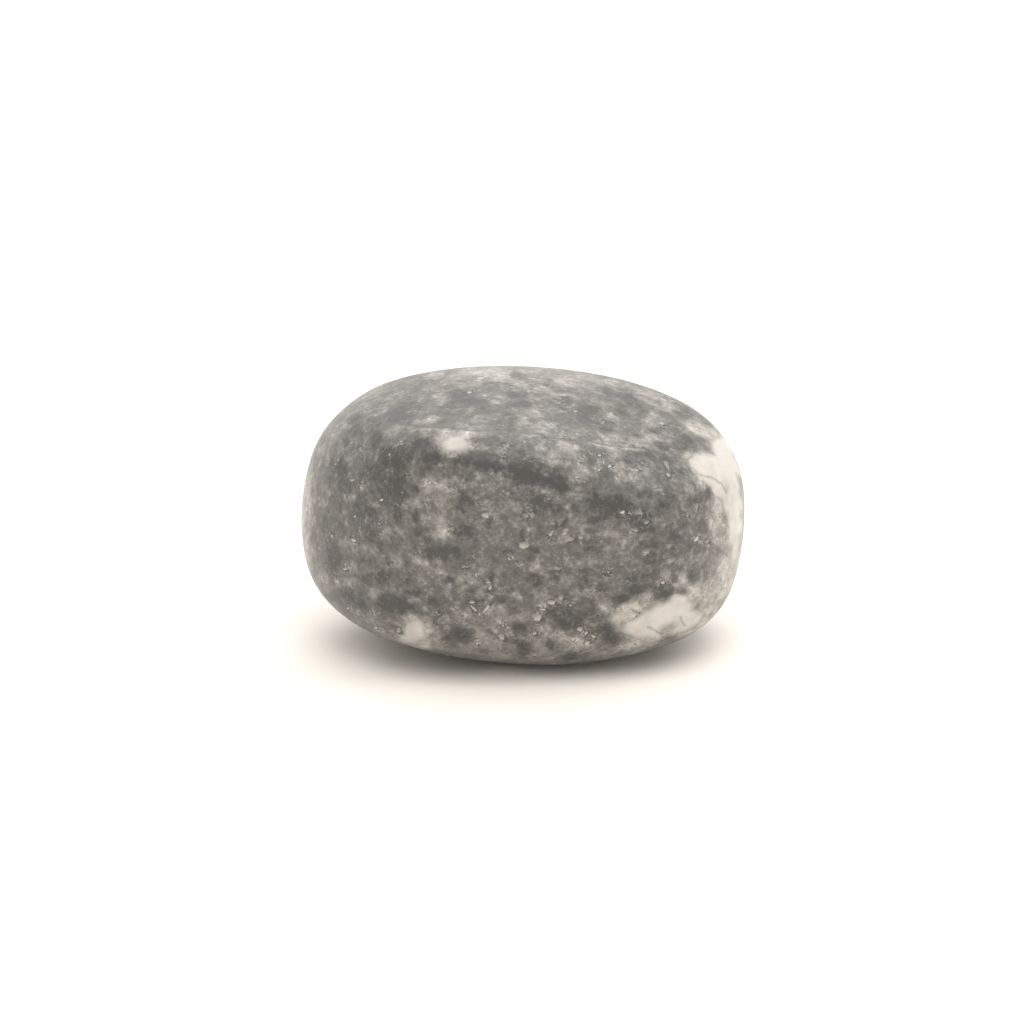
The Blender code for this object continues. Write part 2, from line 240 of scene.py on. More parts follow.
LOW_MIDDLE_MARKS = (
    (-3.6, -4.5, 0.4, 0.35, 0.56), (-2.9, -4.5, 0.35, 0.18, 0.4, -50), (-2.1, -5.4, 0.5, 0.35, 0.36, 35),
    (-1.4, -4.4, 0.25, 0.25, -0.55), (0.3, -5.7, 0.4, 0.18, 0.56, -20), (1.7, -3.6, 0.3, 0.35, 0.56),
    (1.6, -4.6, 0.6, 0.4, -0.4), (2.8, -4.2, 0.5, 0.3, -0.4), (1.8, -5.7, 0.3, 0.18, 0.56),
    (0.5, -7.9, 0.4, 0.3, -0.75), (0.9, -9.3, 0.6, 0.5, -0.75), (2.6, -9.0, 0.35, 0.28, -0.75),
    (3.9, -7.3, 0.9, 0.6, -0.65), (-3.5, -8.4, 1.0, 0.5, -0.55), (3.9, -9.8, 0.5, 0.25, -0.75),
    (-0.7, -5.9, 0.35, 0.2, -0.45), (3.9, -6.6, 0.3, 0.3, -0.45), (-2.8, -5.4, 0.3, 0.25, -0.45),
    (-1.2, -6.7, 0.9, 0.3, 0.36), (0.2, -7.2, 0.5, 0.2, 0.43), (-3.5, -7.3, 0.5, 0.3, 0.36),
    (-1.5, -9.0, 0.8, 0.35, 0.36), (3.3, -8.7, 0.5, 0.3, 0.15), (4.1, -9.0, 0.5, 0.2, 0.2),
    (-1.0, -8.1, 0.45, 0.22, 0.56, -25), (2.2, -7.9, 0.45, 0.22, 0.56), (5.2, -8.5, 0.35, 0.35, -0.6),
    (-2.4, -6.2, 0.6, 0.5, -0.4), (2.9, -6.8, 0.6, 0.4, -0.5), (5.4, -7.0, 0.5, 0.4, -0.4),
    (0.3, -8.3, 0.6, 0.8, -0.4), (3.2, -8.3, 0.5, 0.4, 0.22), (5.0, -8.7, 0.6, 0.4, 0.43),
    (-3.6, -8.4, 0.9, 0.5, -0.4), (3.8, -7.2, 1.0, 0.8, -0.4), (-4.4, -7.0, 1.5, 0.9, -0.22),
)
# Broad marks. The tall narrow pale band at the left rim and the long pale band along the top crest are
# painted rim reflections; two wide pale bands make the front paler towards the bottom; the rest lift or
# sink the tone over wide areas.
BROAD_MARKS_AND_RIM_REFLECTIONS = (
    (-14.0, 0.5, 0.4, 5.0, 0.7), (0.0, -9.6, 6.5, 0.8, 0.2), (-0.5, -8.2, 8.5, 2.0, 0.3),
    (-12.0, 0.0, 0.8, 3.5, -0.2), (-8.6, 1.0, 2.6, 3.0, -0.12), (-0.3, 9.2, 5.5, 0.45, 0.42, -3),
    (13.1, -2.0, 0.8, 3.5, 0.2), (-8.4, 1.4, 1.6, 1.6, -0.12), (11.4, -7.6, 2.0, 1.0, 0.25, 25),
    (0.0, 0.0, 2.5, 1.2, 0.07), (0.5, -2.0, 1.6, 0.8, 0.1), (8.2, 0.2, 2.0, 1.0, 0.08),
)
LOW_RIGHT_MARKS = (
    (10.2, -7.0, 1.3, 0.9, 1.0, 5), (11.2, -6.7, 0.7, 0.7, 0.95), (8.4, -7.9, 1.1, 0.65, 0.95, -12),
    (9.5, -8.2, 0.7, 0.45, 0.9, -20), (11.6, -7.8, 1.0, 0.4, 0.85, 25), (11.3, -5.9, 0.6, 0.35, 0.85, 10),
    (8.4, -6.5, 0.9, 0.5, 0.7), (9.3, -5.7, 0.5, 0.4, 0.55), (7.3, -7.4, 0.6, 0.5, 0.6),
    (6.2, -6.4, 0.4, 0.35, 0.6), (7.3, -6.6, 0.6, 0.4, 0.45), (11.35, -4.6, 0.55, 0.6, 0.75),
    (12.4, -5.8, 0.5, 1.1, 0.7), (12.5, -7.4, 0.7, 0.5, 0.8, 35), (8.2, -9.15, 0.9, 0.4, 0.65, 5),
    (13.3, -6.3, 0.5, 1.2, 0.65, -25), (12.0, -5.3, 0.4, 0.4, 0.6), (11.7, -5.4, 0.25, 0.15, -0.5, 20),
    (11.6, -7.4, 0.1, 0.5, -0.4, -10), (8.6, -5.2, 0.9, 0.3, -0.75), (10.2, -5.5, 0.6, 0.4, -0.7),
    (12.15, -4.45, 0.3, 0.3, -0.65), (7.3, -5.9, 0.5, 0.25, -0.6), (6.2, -5.2, 0.35, 0.22, -0.45),
    # The second mark below, dark and narrow where the white meets the floor, is painted shade on the
    # underside.
    (8.5, -4.5, 0.7, 0.3, -0.45), (10.6, -8.6, 0.6, 0.2, -0.3, 15), (9.9, -4.3, 0.7, 0.5, -0.3),
    (6.3, -8.0, 0.5, 0.5, -0.65), (6.9, -8.7, 0.5, 0.3, -0.6), (10.5, -4.2, 0.45, 0.5, 0.45, 15),
    (9.3, -7.2, 1.8, 0.9, 0.8, 5), (12.0, -6.6, 0.7, 1.2, 0.8), (8.0, -7.2, 1.0, 0.6, 0.75),
    (8.6, -8.7, 1.1, 0.45, 0.75, 5), (11.9, -7.8, 0.9, 0.6, 0.75, 30), (13.4, -6.0, 0.7, 1.5, 0.5, -25),
    (13.1, -7.0, 0.8, 0.7, 0.5, 45), (9.4, -7.4, 1.0, 0.75, 0.95), (8.5, -6.9, 1.0, 0.5, 0.7),
    (12.2, -7.2, 0.9, 0.55, 0.92, 30), (11.6, -6.3, 0.6, 0.6, 0.9), (10.3, -7.2, 2.1, 0.95, 0.75, 8),
    (12.35, -6.1, 0.2, 0.7, -0.35, 15), (13.4, -5.4, 0.5, 0.8, 0.55, -15),
    (9.05, -6.9, 0.12, 0.35, -0.3, 10), (12.4, -6.0, 0.3, 0.7, 0.2, 10),
)
SEEN_MARKS = (
    TOP_LEFT_MARKS + TOP_MIDDLE_MARKS + BROW_MARKS + TOP_RIGHT_MARKS + RIGHT_END_MARKS + LEFT_MARKS
    + MIDDLE_MARKS + RIGHT_MARKS + LOW_LEFT_MARKS + LOW_MIDDLE_MARKS + LOW_RIGHT_MARKS + BROAD_MARKS_AND_RIM_REFLECTIONS
)
# Crystals with straight sides, given as the marks above.
SEEN_CRYSTALS = (
    # The small ones at full paleness are partly painted highlights: glints beside the pits.
    (-10.85, 2.15, 0.22, 0.13, 0.8, 5), (-8.87, 0.8, 0.15, 0.12, 1.0, 20), (-10.2, 1.8, 0.1, 0.07, 0.5),
    (-11.95, 3.25, 0.11, 0.09, 0.8), (-10.25, 4.3, 0.12, 0.06, 0.5, 30), (-8.3, 3.9, 0.09, 0.06, 0.7, 60),
    (-7.5, 4.6, 0.1, 0.07, 0.6), (-2.9, 8.1, 0.18, 0.1, 0.9, 10), (3.3, 7.7, 0.1, 0.07, 0.7),
    (3.2, 7.4, 0.15, 0.06, 0.8), (4.3, 6.8, 0.15, 0.09, 0.8), (6.2, 6.1, 0.15, 0.09, 0.5, 20),
    (10.15, 6.0, 0.18, 0.11, 0.8, -20), (10.5, 3.2, 0.35, 0.18, 0.55, -50), (5.95, 3.85, 0.12, 0.09, 1.0),
    (6.6, 3.1, 0.16, 0.12, 0.9, 30), (5.9, 2.85, 0.12, 0.09, 0.8), (8.3, 2.85, 0.32, 0.12, 0.6, 5),
    (-9.0, -0.8, 0.11, 0.07, 0.8), (-12.2, -1.6, 0.12, 0.09, 0.9, 40), (-10.7, -1.9, 0.15, 0.11, 0.8),
    (-10.65, -0.3, 0.1, 0.07, 0.8), (-7.45, 1.3, 0.09, 0.06, 0.7, 70), (-7.75, 0.5, 0.08, 0.06, 0.6),
    (-1.8, -0.2, 0.3, 0.2, 0.75, -10), (0.9, -0.25, 0.2, 0.17, 0.4, 30), (1.25, 0.15, 0.12, 0.09, 0.5),
    (0.8, -2.25, 0.38, 0.22, 0.7, -5), (3.8, -1.8, 0.28, 0.22, 0.5, 20), (4.6, -1.7, 0.2, 0.24, 0.55),
    (2.6, -1.5, 0.12, 0.1, 0.8), (2.75, -0.7, 0.18, 0.22, 0.4), (2.5, 0.9, 0.15, 0.11, 0.4),
    (-0.3, 1.3, 0.2, 0.13, 0.45, 15), (7.45, 0.0, 0.22, 0.11, 1.0, 30), (8.5, 0.0, 0.33, 0.22, 0.4, 30),
    (9.1, -0.7, 0.2, 0.11, 0.5, 35), (8.3, -1.2, 0.24, 0.11, 0.45, -10), (12.5, -1.8, 0.22, 0.13, 0.9, 40),
    (13.2, -2.0, 0.14, 0.12, 0.5), (10.6, 2.5, 0.19, 0.09, 0.8, -40), (12.5, 0.4, 0.11, 0.2, 0.45),
    (11.85, -0.25, 0.12, 0.09, 0.5), (10.6, -2.3, 0.24, 0.18, 0.4), (-3.3, -3.7, 0.16, 0.06, 0.5, 30),
    (-11.3, -3.85, 0.19, 0.11, 0.8), (-9.2, -7.85, 0.12, 0.09, 1.0), (-11.1, -6.5, 0.1, 0.07, 1.0),
    (-1.5, -5.15, 0.15, 0.09, 1.0, 55), (-1.6, -4.75, 0.2, 0.06, 0.7), (-2.7, -6.1, 0.25, 0.09, 0.8),
    (-2.6, -6.5, 0.3, 0.11, 0.9, -40), (-1.7, -6.5, 0.45, 0.11, 0.85, 55), (3.05, -3.8, 0.19, 0.15, 0.5),
    (2.7, -6.1, 0.3, 0.19, 0.85, 10), (3.3, -5.8, 0.18, 0.15, 0.7), (1.65, -7.1, 0.3, 0.32, 0.8, 20),
    (1.55, -8.2, 0.14, 0.12, 0.85), (2.05, -6.6, 0.19, 0.07, 1.0), (3.95, -6.3, 0.1, 0.09, 0.8),
    (-0.7, -8.4, 0.22, 0.28, 0.7), (-0.6, -7.7, 0.12, 0.1, 0.9), (4.6, -7.9, 0.2, 0.16, 0.8),
    (5.0, -8.2, 0.15, 0.1, 1.0, 30), (5.5, -8.4, 0.16, 0.11, 1.0, -30), (5.1, -8.85, 0.18, 0.11, 1.0, 20),
    (-2.4, -8.9, 0.12, 0.1, 1.0), (6.5, -4.05, 0.12, 0.09, 1.0, -20), (10.4, -4.2, 0.42, 0.46, 0.45, 15),
    (10.2, -4.75, 0.12, 0.1, 1.0), (-7.7, -8.0, 0.18, 0.22, 0.7), (-0.75, 3.55, 0.16, 0.06, 0.5, 40),
    (-0.5, 3.75, 0.12, 0.05, 0.5, -20), (1.25, 3.45, 0.14, 0.05, 0.4), (0.85, 3.6, 0.1, 0.05, 0.4, 30),
)

# Hairlines: points along each, across and up in mm.
SEAM_LINES = (
    ((-7.6, 5.9), (-6.4, 5.8), (-4.3, 5.7), (-2.6, 5.5), (-0.6, 5.5), (1.2, 5.3), (2.2, 5.3)),
    ((2.2, 5.0), (2.8, 5.0), (4.1, 4.8)),
    ((5.1, 4.8), (5.9, 4.6), (7.6, 4.4), (9.0, 4.3), (10.3, 3.8)),
)
CRACK_LINES = (
    ((12.8, 2.5), (13.6, 2.3), (14.2, 1.9), (14.5, 1.3)),
    ((12.7, 4.4), (13.7, 3.9)),
    ((8.1, -6.6), (8.5, -6.8)),
    ((8.8, -6.6), (9.3, -6.4)),
    ((9.2, -7.8), (9.7, -8.0), (10.1, -8.3)),
    ((11.4, -7.1), (11.5, -7.4), (11.7, -7.7)),
    ((8.7, -8.8), (9.4, -8.9)),
)
SEAM_WIDTH = 0.07  # mm, from the middle of the groove to most of the way up its side
LEDGE_RISE = (0.1, -0.02)  # mm above the seam's line: where the ledge below it begins ...
LEDGE_FALL = (-0.1, -0.5)  # ... and where it dies out
LEDGE_HEIGHT = 0.5  # as a share of the seam's depth
CRACK_WIDTH = 0.06
CRACK_DEPTH = 0.5  # as a share of the seam's depth
HAIRLINE_END = 0.12  # mm: how fast a hairline dies out at its ends

# Patches placed round the right end, out of the camera's sight: the way from the
# stone's middle (azimuth 0 is -Y and 90 is +X) in degrees, half sizes in mm, paleness, turn.
HIDDEN_MARKS = (
    ("right end, upper", 92, 18, 2.6, 1.3, 1.0, 10),
    ("right end, heart", 84, 2, 1.6, 1.2, 0.85),
    ("right end, back", 116, 8, 1.4, 0.8, 0.9, 30),
    ("right end, low", 78, -28, 2.0, 0.9, 0.9, -20),
    ("right end, under", 96, -42, 1.2, 0.7, 0.7),
)
# Patches drawn at random over the sides out of sight: name, seed, how many groups, marks
# in a group, least and greatest half length in mm, least and greatest paleness.
HIDDEN_KINDS = (
    ("feldspar patches", 11, 8, 5, 0.4, 1.2, 0.75, 1.0),
    ("pale clouds", 23, 90, 2, 0.25, 0.9, 0.2, 0.6),
    ("dark pools", 37, 95, 2, 0.3, 1.0, -0.75, -0.2),
)
HIDDEN_CRYSTAL_SEED = 41
HIDDEN_CRYSTAL_SIZES = (0.08, 0.35)  # mm: least and greatest half length
HIDDEN_CRYSTAL_PALENESS = (0.4, 1.0)
HIDDEN_SLIMNESS = (0.35, 0.9)  # half width as a share of half length
LEVEL = 0.1  # a face whose normal leans less than this sine from upright counts as level
GROUP_SPREAD = 0.07  # how far the marks of a group lie apart, as a share of the stone's radius

# How marks look at their edges.
EDGE_START = 0.5  # a mark starts to fade at this share of its half size ...
EDGE_END = 1.55  # ... and is gone at this one
WHITE_FROM = 0.85  # marks at least this pale are white feldspar, with a crisper edge ...
WHITE_EDGE_START = 0.45
WHITE_EDGE_END = 1.45
WHITE_HALO = 0.9  # ... inside a pale halo
EDGE_SWAY = ((0.16, 0.9, 4.1), (0.08, 0.35, 8.3))  # mm to and fro, mm along, where it starts
SWAY_SEED = 4  # noise_vector is seeded from the clock unless this is set
GRAZING = (0.0, 0.12)  # how squarely the camera sees the stone where seen marks fade in
HAIRLINE_GRAZING = (0.0, 0.1)  # ... and where the hairlines do
HIDDEN_UNDER_SEEN = 0.2  # how much of the hidden marks shows through where seen ones lie
CRYSTAL_REACH = 2.2  # half sizes: how far a crystal's own axes are kept ...
CRYSTAL_MARGIN = 0.3  # ... and mm beyond that
PIT_PLACE = (1.1, -0.9)  # half sizes from a crystal's middle to its pit's
PIT_EDGE = (0.3, 1.0)  # half sizes from the pit's middle: where its wall starts and ends
NEAR_MARGIN = 0.5  # mm added to a mark's reach before points are tested against it ...
NEAR_SLACK = 2.5  # ... and how many such reaches away a point may lie to be tested
SAME_SIDE = 0.1  # least cosine between a point's normal and that of a mark on its side
FAR = 9.0  # a place that counts as far from every crystal or hairline

# The skin's mesh.
WELD_MM = 0.001
SKIN_LEVELS = 2
FINE_CUTS = 2  # near a hairline or a crystal
FINE_MESH_ALONG = 0.25  # mm on each side of a hairline
FINE_MESH_ROUND = 0.35  # mm round a crystal
LOW_WAVES = ((1.0, 2.4, 1.7), (0.4, 0.9, 5.3))  # share of the height, mm along, start

# Tones, from 0, dark, to 1, white: where each of the stone's colours stands ...
TONE_DEEP = 0.05
TONE_MIDDLE = 0.40
TONE_PALE = 0.64
TONE_WHITE = 0.95
# ... and the tone of each thing on it.
TONE_GROUND = 0.38
TONE_POOL = 0.03
TONE_FLECK = 0.12
# The glints are painted highlights: tiny bright spots set into the colour.
TONE_PAINTED_GLINT = 0.80
TONE_OUTLINE = 0.20
# Pits are darkened partly by dirt and partly by painted shade in the hollow.
TONE_PIT_DIRT_AND_SHADE = 0.06
TONE_SEAM = 0.18
TONE_CRACK = 0.50
# How far clouds lift the ground's tone and pools sink it, and how strongly each small
# thing shows over what lies under it.
CLOUD_LIFT = 0.42
POOL_SINK = 0.55
CALM_IN_CLOUDS = 0.45  # how much of the grain a cloud takes away
SPECK_STRENGTH = 0.55
FLECK_STRENGTH = 0.55
LATH_STRENGTH = 0.8
LATH_LIFT = 0.20
# How strongly the painted glint highlights show.
PAINTED_GLINT_STRENGTH = 0.8
OUTLINE_STRENGTH = 0.38
# How strongly a pit's dirt and painted shade show.
PIT_DIRT_AND_SHADE_STRENGTH = 0.60
SEAM_STRENGTH = 0.5
LIP_LIFT = 0.09
CRACK_STRENGTH = 0.4
# Grains strewn between the marks: cells to the mm, the largest grain's half size as a share
# of a cell, the share of cells that hold a grain, and how soft its edge is.
FLECKS = (1.9, 0.30, 0.35, 0.10)
LATHS = (1.55, 0.26, 0.30, 0.08)
# Glints are not grains but painted highlights, strewn the same way.
PAINTED_GLINTS = (1.3, 0.10, 0.22, 0.04)
GRAIN_ROUNDNESS = 1.6  # 1 gives diamonds and 2 gives balls
SWIRL_SIZE = 1.3  # mm: how large the swirls are that bend the grain ...
SWIRL_REACH = 0.5  # ... and how far, at most, they shift it
POLISH_GRAIN = 0.2  # mm: the finest grain, left in the polish ...
POLISH_RELIEF = 0.008  # ... and its height
POLISH_ROUGHNESS = (0.28, 0.40)


def deselect_all():
    if bpy.context.object and bpy.context.object.mode != "OBJECT":
        bpy.ops.object.mode_set(mode="OBJECT")
    bpy.ops.object.select_all(action="DESELECT")


def activate(thing):
    deselect_all()
    thing.select_set(True)
    bpy.context.view_layer.objects.active = thing


def smooth_step(low, high, values):
    part = np.clip((values - low) / (high - low), 0.0, 1.0)
    return part * part * (3.0 - 2.0 * part)


def waves(kind, points, length, seed):
    """Smooth noise of a kind at each point, with waves of a length in mm."""
    start = Vector((seed, 2.0 * seed, 3.0 * seed))
    return np.array([kind(Vector(point) / (length * MM) + start) for point in points])


# ---------------------------------------------------------------- the stone's mesh


def copy_of_node():
    """A welded copy of the solid pebble, with no normals kept from the file."""
    skin = bpy.data.objects.new("bluestone_skin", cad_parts[NODE].data.copy())
    bpy.context.scene.collection.objects.link(skin)
    skin.data.materials.clear()
    activate(skin)
    bpy.ops.object.mode_set(mode="EDIT")
    bpy.ops.mesh.select_all(action="SELECT")
    bpy.ops.mesh.customdata_custom_splitnormals_clear()
    bpy.ops.mesh.remove_doubles(threshold=WELD_MM * MM)
    bpy.ops.object.mode_set(mode="OBJECT")
    return skin


def subdivide_smoothly(skin):
    """Round the solid's facets off into a smooth, dense skin."""
    activate(skin)
    smooth = skin.modifiers.new("smooth skin", "SUBSURF")
    smooth.levels = SKIN_LEVELS
    smooth.render_levels = SKIN_LEVELS
    bpy.ops.object.modifier_apply(modifier=smooth.name)


def read(elements, name):
    """A vector of each element of a mesh, one to a row."""
    values = np.empty(len(elements) * 3)
    elements.foreach_get(name, values)
    return values.reshape(-1, 3)


def points_and_normals(skin):
    return read(skin.data.vertices, "co"), read(skin.data.vertex_normals, "vector")


def refine(skin, near):
    """Cut the faces that are chosen by near(points, normals) into smaller ones."""
    faces = skin.data.polygons
    chosen = near(read(faces, "center"), read(faces, "normal"))
    activate(skin)
    bpy.context.tool_settings.mesh_select_mode = (False, False, True)
    bpy.ops.object.mode_set(mode="EDIT")
    bpy.ops.mesh.select_all(action="DESELECT")
    bpy.ops.object.mode_set(mode="OBJECT")
    skin.data.polygons.foreach_set("select", chosen)
    bpy.ops.object.mode_set(mode="EDIT")
    bpy.ops.mesh.subdivide(number_cuts=FINE_CUTS)
    bpy.ops.object.mode_set(mode="OBJECT")


# ---------------------------------------------------------------- places on the stone


class Placed:
    """A mark or crystal on the stone: its middle, its two axes, half sizes and paleness."""

    def __init__(self, place, axes, half_length, half_width, paleness, turn=0.0):
        middle, normal, _, _ = place
        first, second = axes
        lean = math.radians(turn)
        along = first * math.cos(lean) + second * math.sin(lean)
        sideways = second * math.cos(lean) - first * math.sin(lean)
        self.sizes = np.array((half_length, half_width))
        self.middle = np.array(middle)
        self.normal = np.array(normal)
        self.axes = np.array((along, sideways)) / (self.sizes * MM)[:, None]
        self.paleness = paleness

    def own_axes(self, points):
        """Each point's place along the mark's two axes, in half sizes."""
        return (points - self.middle) @ self.axes.T

    def near(self, points, normals, half_sizes):
        """Which points lie within so many half sizes of it, on its side of the stone."""
        reach = (half_sizes * max(self.sizes) + NEAR_MARGIN) * MM
        close = np.linalg.norm(points - self.middle, axis=1) < NEAR_SLACK * reach
        inside = np.zeros(len(points), dtype=bool)
        inside[close] = np.linalg.norm(self.own_axes(points[close]), axis=1) < half_sizes
        return inside & (normals @ self.normal > SAME_SIDE)


def seen_crystal(solid, across, up, *look):
    """A crystal drawn as the camera sees it, so many mm across and up."""
    target = CAMERA_AIM + (ACROSS * across + UP * up) * MM
    place = solid.ray_cast(EYE, (target - EYE).normalized())
    if place[0] is None:
        raise RuntimeError(f"the crystal at {across}, {up} mm misses the stone")
    return Placed(place, (ACROSS, UP), *look)


def placed_by_way(solid, way, *look):
    """A mark laid on the stone where a ray from its middle comes out."""
    place = solid.ray_cast(STONE_MIDDLE, way)
    normal = place[1]
    side = Vector((0.0, 0.0, 1.0)).cross(normal)
    side = side.normalized() if side.length > LEVEL else ACROSS
    return Placed(place, (side, normal.cross(side)), *look)


def hand_placed(solid, azimuth, elevation, *look):
    turn = math.radians(azimuth)
    lift = math.radians(elevation)
    way = Vector((math.sin(turn) * math.cos(lift), -math.cos(turn) * math.cos(lift), math.sin(lift)))
    return placed_by_way(solid, way, *look)


def drawn_at_random(solid, seed, groups, members, small, large, low, high):
    """Marks strewn in groups over the sides that the camera doesn't see."""
    draw = random.Random(seed)
    marks = []
    for _ in range(2 * groups):  # about half fall on the seen side and are left out
        heart = Vector((draw.gauss(0, 1), draw.gauss(0, 1), draw.gauss(0, 1))).normalized()
        for _ in range(members):
            offset = Vector((draw.gauss(0, 1), draw.gauss(0, 1), draw.gauss(0, 1)))
            way = (heart + GROUP_SPREAD * offset).normalized()
            length = draw.uniform(small, large)
            width = length * draw.uniform(*HIDDEN_SLIMNESS)
            turn = draw.uniform(0.0, 180.0)
            mark = placed_by_way(solid, way, length, width, draw.uniform(low, high), turn)
            if Vector(mark.normal).dot(SIGHT) > -GRAZING[1]:
                marks.append(mark)
    return marks


def seen_coordinates(points):
    """Each point's place across and up as the camera sees it, in mm."""
    rays = points - np.array(EYE)
    scale = CAMERA_DISTANCE / (rays @ np.array(SIGHT)) / MM
    return np.stack((rays @ np.array(ACROSS) * scale, rays @ np.array(UP) * scale), axis=1)


def squareness(points, normals):
    """How squarely the camera sees each point: 1 head on, 0 at the rim, less out of sight."""
    rays = points - np.array(EYE)
    rays /= np.linalg.norm(rays, axis=1)[:, None]
    return -np.einsum("ij,ij->i", rays, normals)


# ---------------------------------------------------------------- the stone's markings


class Layers:
    """Marks laid over one another, where overlapping marks of a kind merge into one."""

    def __init__(self, count):
        self.clear_of = {kind: np.ones(count) for kind in ("white", "pale", "dark")}

    def lay(self, reach, paleness, where=slice(None)):
        """Lay a mark, given how many half sizes from its middle each point is."""
        weight = 1.0 - smooth_step(EDGE_START, EDGE_END, reach)
        if paleness >= WHITE_FROM:
            heart = 1.0 - smooth_step(WHITE_EDGE_START, WHITE_EDGE_END, reach)
            self.clear_of["white"][where] *= 1.0 - min(paleness, 1.0) * heart
            paleness = WHITE_HALO
        kind = "pale" if paleness > 0.0 else "dark"
        self.clear_of[kind][where] *= 1.0 - abs(paleness) * weight

    def lay_seen(self, seen, across, up, half_length, half_width, paleness, turn=0.0):
        """Lay a mark as the camera sees it."""
        lean = math.radians(turn)
        offset = seen - np.array((across, up))
        along = offset @ np.array((math.cos(lean), math.sin(lean))) / half_length
        sideways = offset @ np.array((-math.sin(lean), math.cos(lean))) / half_width
        self.lay(np.hypot(along, sideways), paleness)

    def tones(self):
        """How pale each point is, from -1, dark, to 1, and how white."""
        return np.stack((self.clear_of["dark"] - self.clear_of["pale"], 1.0 - self.clear_of["white"]))


def hairlines(lines, seen):
    """Signed distance in mm to the nearest hairline, and 1 along it falling to 0 past its ends."""
    nearest = np.full(len(seen), FAR)
    side_of = np.full(len(seen), FAR)
    strength = np.zeros(len(seen))
    for line in lines:
        for start, end in zip(line, line[1:]):
            run = np.array(end) - np.array(start)
            length = np.linalg.norm(run)
            run = run / length
            offset = seen - np.array(start)
            along = offset @ run
            side = offset @ np.array((-run[1], run[0]))
            past = np.maximum(np.maximum(-along, along - length), 0.0)
            distance = np.hypot(side, past)
            closer = distance < nearest
            nearest = np.where(closer, distance, nearest)
            side_of = np.where(closer, side, side_of)
            strength = np.where(closer, np.clip(1.0 - past / HAIRLINE_END, 0.0, 1.0), strength)
    return side_of, strength


class Markings:
    """All the stone's marks and crystals, seen and hidden."""

    def __init__(self, skin, hidden_crystals):
        solid = BVHTree.FromObject(skin, bpy.context.evaluated_depsgraph_get())
        self.hidden = [hand_placed(solid, *mark[1:]) for mark in HIDDEN_MARKS]
        for _, *kind in HIDDEN_KINDS:
            self.hidden += drawn_at_random(solid, *kind)
        self.crystals = [seen_crystal(solid, *crystal) for crystal in SEEN_CRYSTALS]
        look = HIDDEN_CRYSTAL_SIZES + HIDDEN_CRYSTAL_PALENESS
        self.crystals += drawn_at_random(solid, HIDDEN_CRYSTAL_SEED, hidden_crystals, 1, *look)

    def seen_tones(self, points):
        layers = Layers(len(points))
        seen = seen_coordinates(points)
        for mark in SEEN_MARKS:
            layers.lay_seen(seen, *mark)
        return layers.tones()

    def hidden_tones(self, points, normals):
        layers = Layers(len(points))
        for mark in self.hidden:
            inside = np.flatnonzero(mark.near(points, normals, EDGE_END))
            layers.lay(np.linalg.norm(mark.own_axes(points[inside]), axis=1), mark.paleness, inside)
        return layers.tones()

    def tones(self, points, normals):
        """How pale, and how white, each point is made by the marks over it."""
        noise.seed_set(SWAY_SEED)
        sway = sum(far * waves(noise.noise_vector, points, *rest) for far, *rest in EDGE_SWAY)
        shifted = points + sway * MM
        seen = smooth_step(*GRAZING, squareness(points, normals))
        hidden = 1.0 - (1.0 - HIDDEN_UNDER_SEEN) * seen
        return seen * self.seen_tones(shifted) + hidden * self.hidden_tones(shifted, normals)

    def nearest_crystal(self, points, normals):
        """The nearest crystal's own axes at each point, in half sizes, and its paleness."""
        axes = np.full((len(points), 2), FAR)
        distance = np.full(len(points), FAR)
        paleness = np.zeros(len(points))
        for crystal in self.crystals:
            reach = CRYSTAL_REACH + CRYSTAL_MARGIN / min(crystal.sizes)
            inside = np.flatnonzero(crystal.near(points, normals, reach))
            own = crystal.own_axes(points[inside])
            away = np.linalg.norm(own * crystal.sizes, axis=1)
            closer = away < distance[inside]
            chosen = inside[closer]
            axes[chosen] = own[closer]
            distance[chosen] = away[closer]
            paleness[chosen] = crystal.paleness
        return axes, distance, paleness

    def need_detail(self, points, normals):
        """Which faces lie so near a hairline or a crystal that they need finer mesh."""
        side, strength = hairlines(SEAM_LINES + CRACK_LINES, seen_coordinates(points))
        beside = (np.abs(side) < FINE_MESH_ALONG) & (strength > 0.0) & (squareness(points, normals) > 0.0)
        _, distance, _ = self.nearest_crystal(points, normals)
        return beside | (distance < FINE_MESH_ROUND)


def add_relief(skin, markings, shape):
    """Move the skin in and out: low waves, the hairlines' grooves and a pit at each crystal."""
    points, normals = points_and_normals(skin)
    lift = sum(share * shape.wave_height * waves(noise.noise, points, *rest) for share, *rest in LOW_WAVES)
    seen = seen_coordinates(points)
    facing = squareness(points, normals) > 0.0
    side, strength = hairlines(SEAM_LINES, seen)
    groove = -shape.seam_depth * np.exp(-((side / SEAM_WIDTH) ** 2))
    ledge = LEDGE_HEIGHT * shape.seam_depth * smooth_step(*LEDGE_RISE, side)
    ledge *= 1.0 - smooth_step(*LEDGE_FALL, side)
    lift += np.where(facing, strength * (groove + ledge), 0.0)
    side, strength = hairlines(CRACK_LINES, seen)
    groove = CRACK_DEPTH * shape.seam_depth * np.exp(-((side / CRACK_WIDTH) ** 2))
    lift -= np.where(facing, strength * groove, 0.0)
    axes, _, _ = markings.nearest_crystal(points, normals)
    beside = np.linalg.norm(axes - np.array(PIT_PLACE), axis=1)
    lift -= shape.pit_depth * (1.0 - smooth_step(*PIT_EDGE, beside))
    points = points + normals * lift[:, None]
    points[:, 2] = np.maximum(points[:, 2], 0.0)
    skin.data.vertices.foreach_set("co", points.ravel())
    skin.data.update()


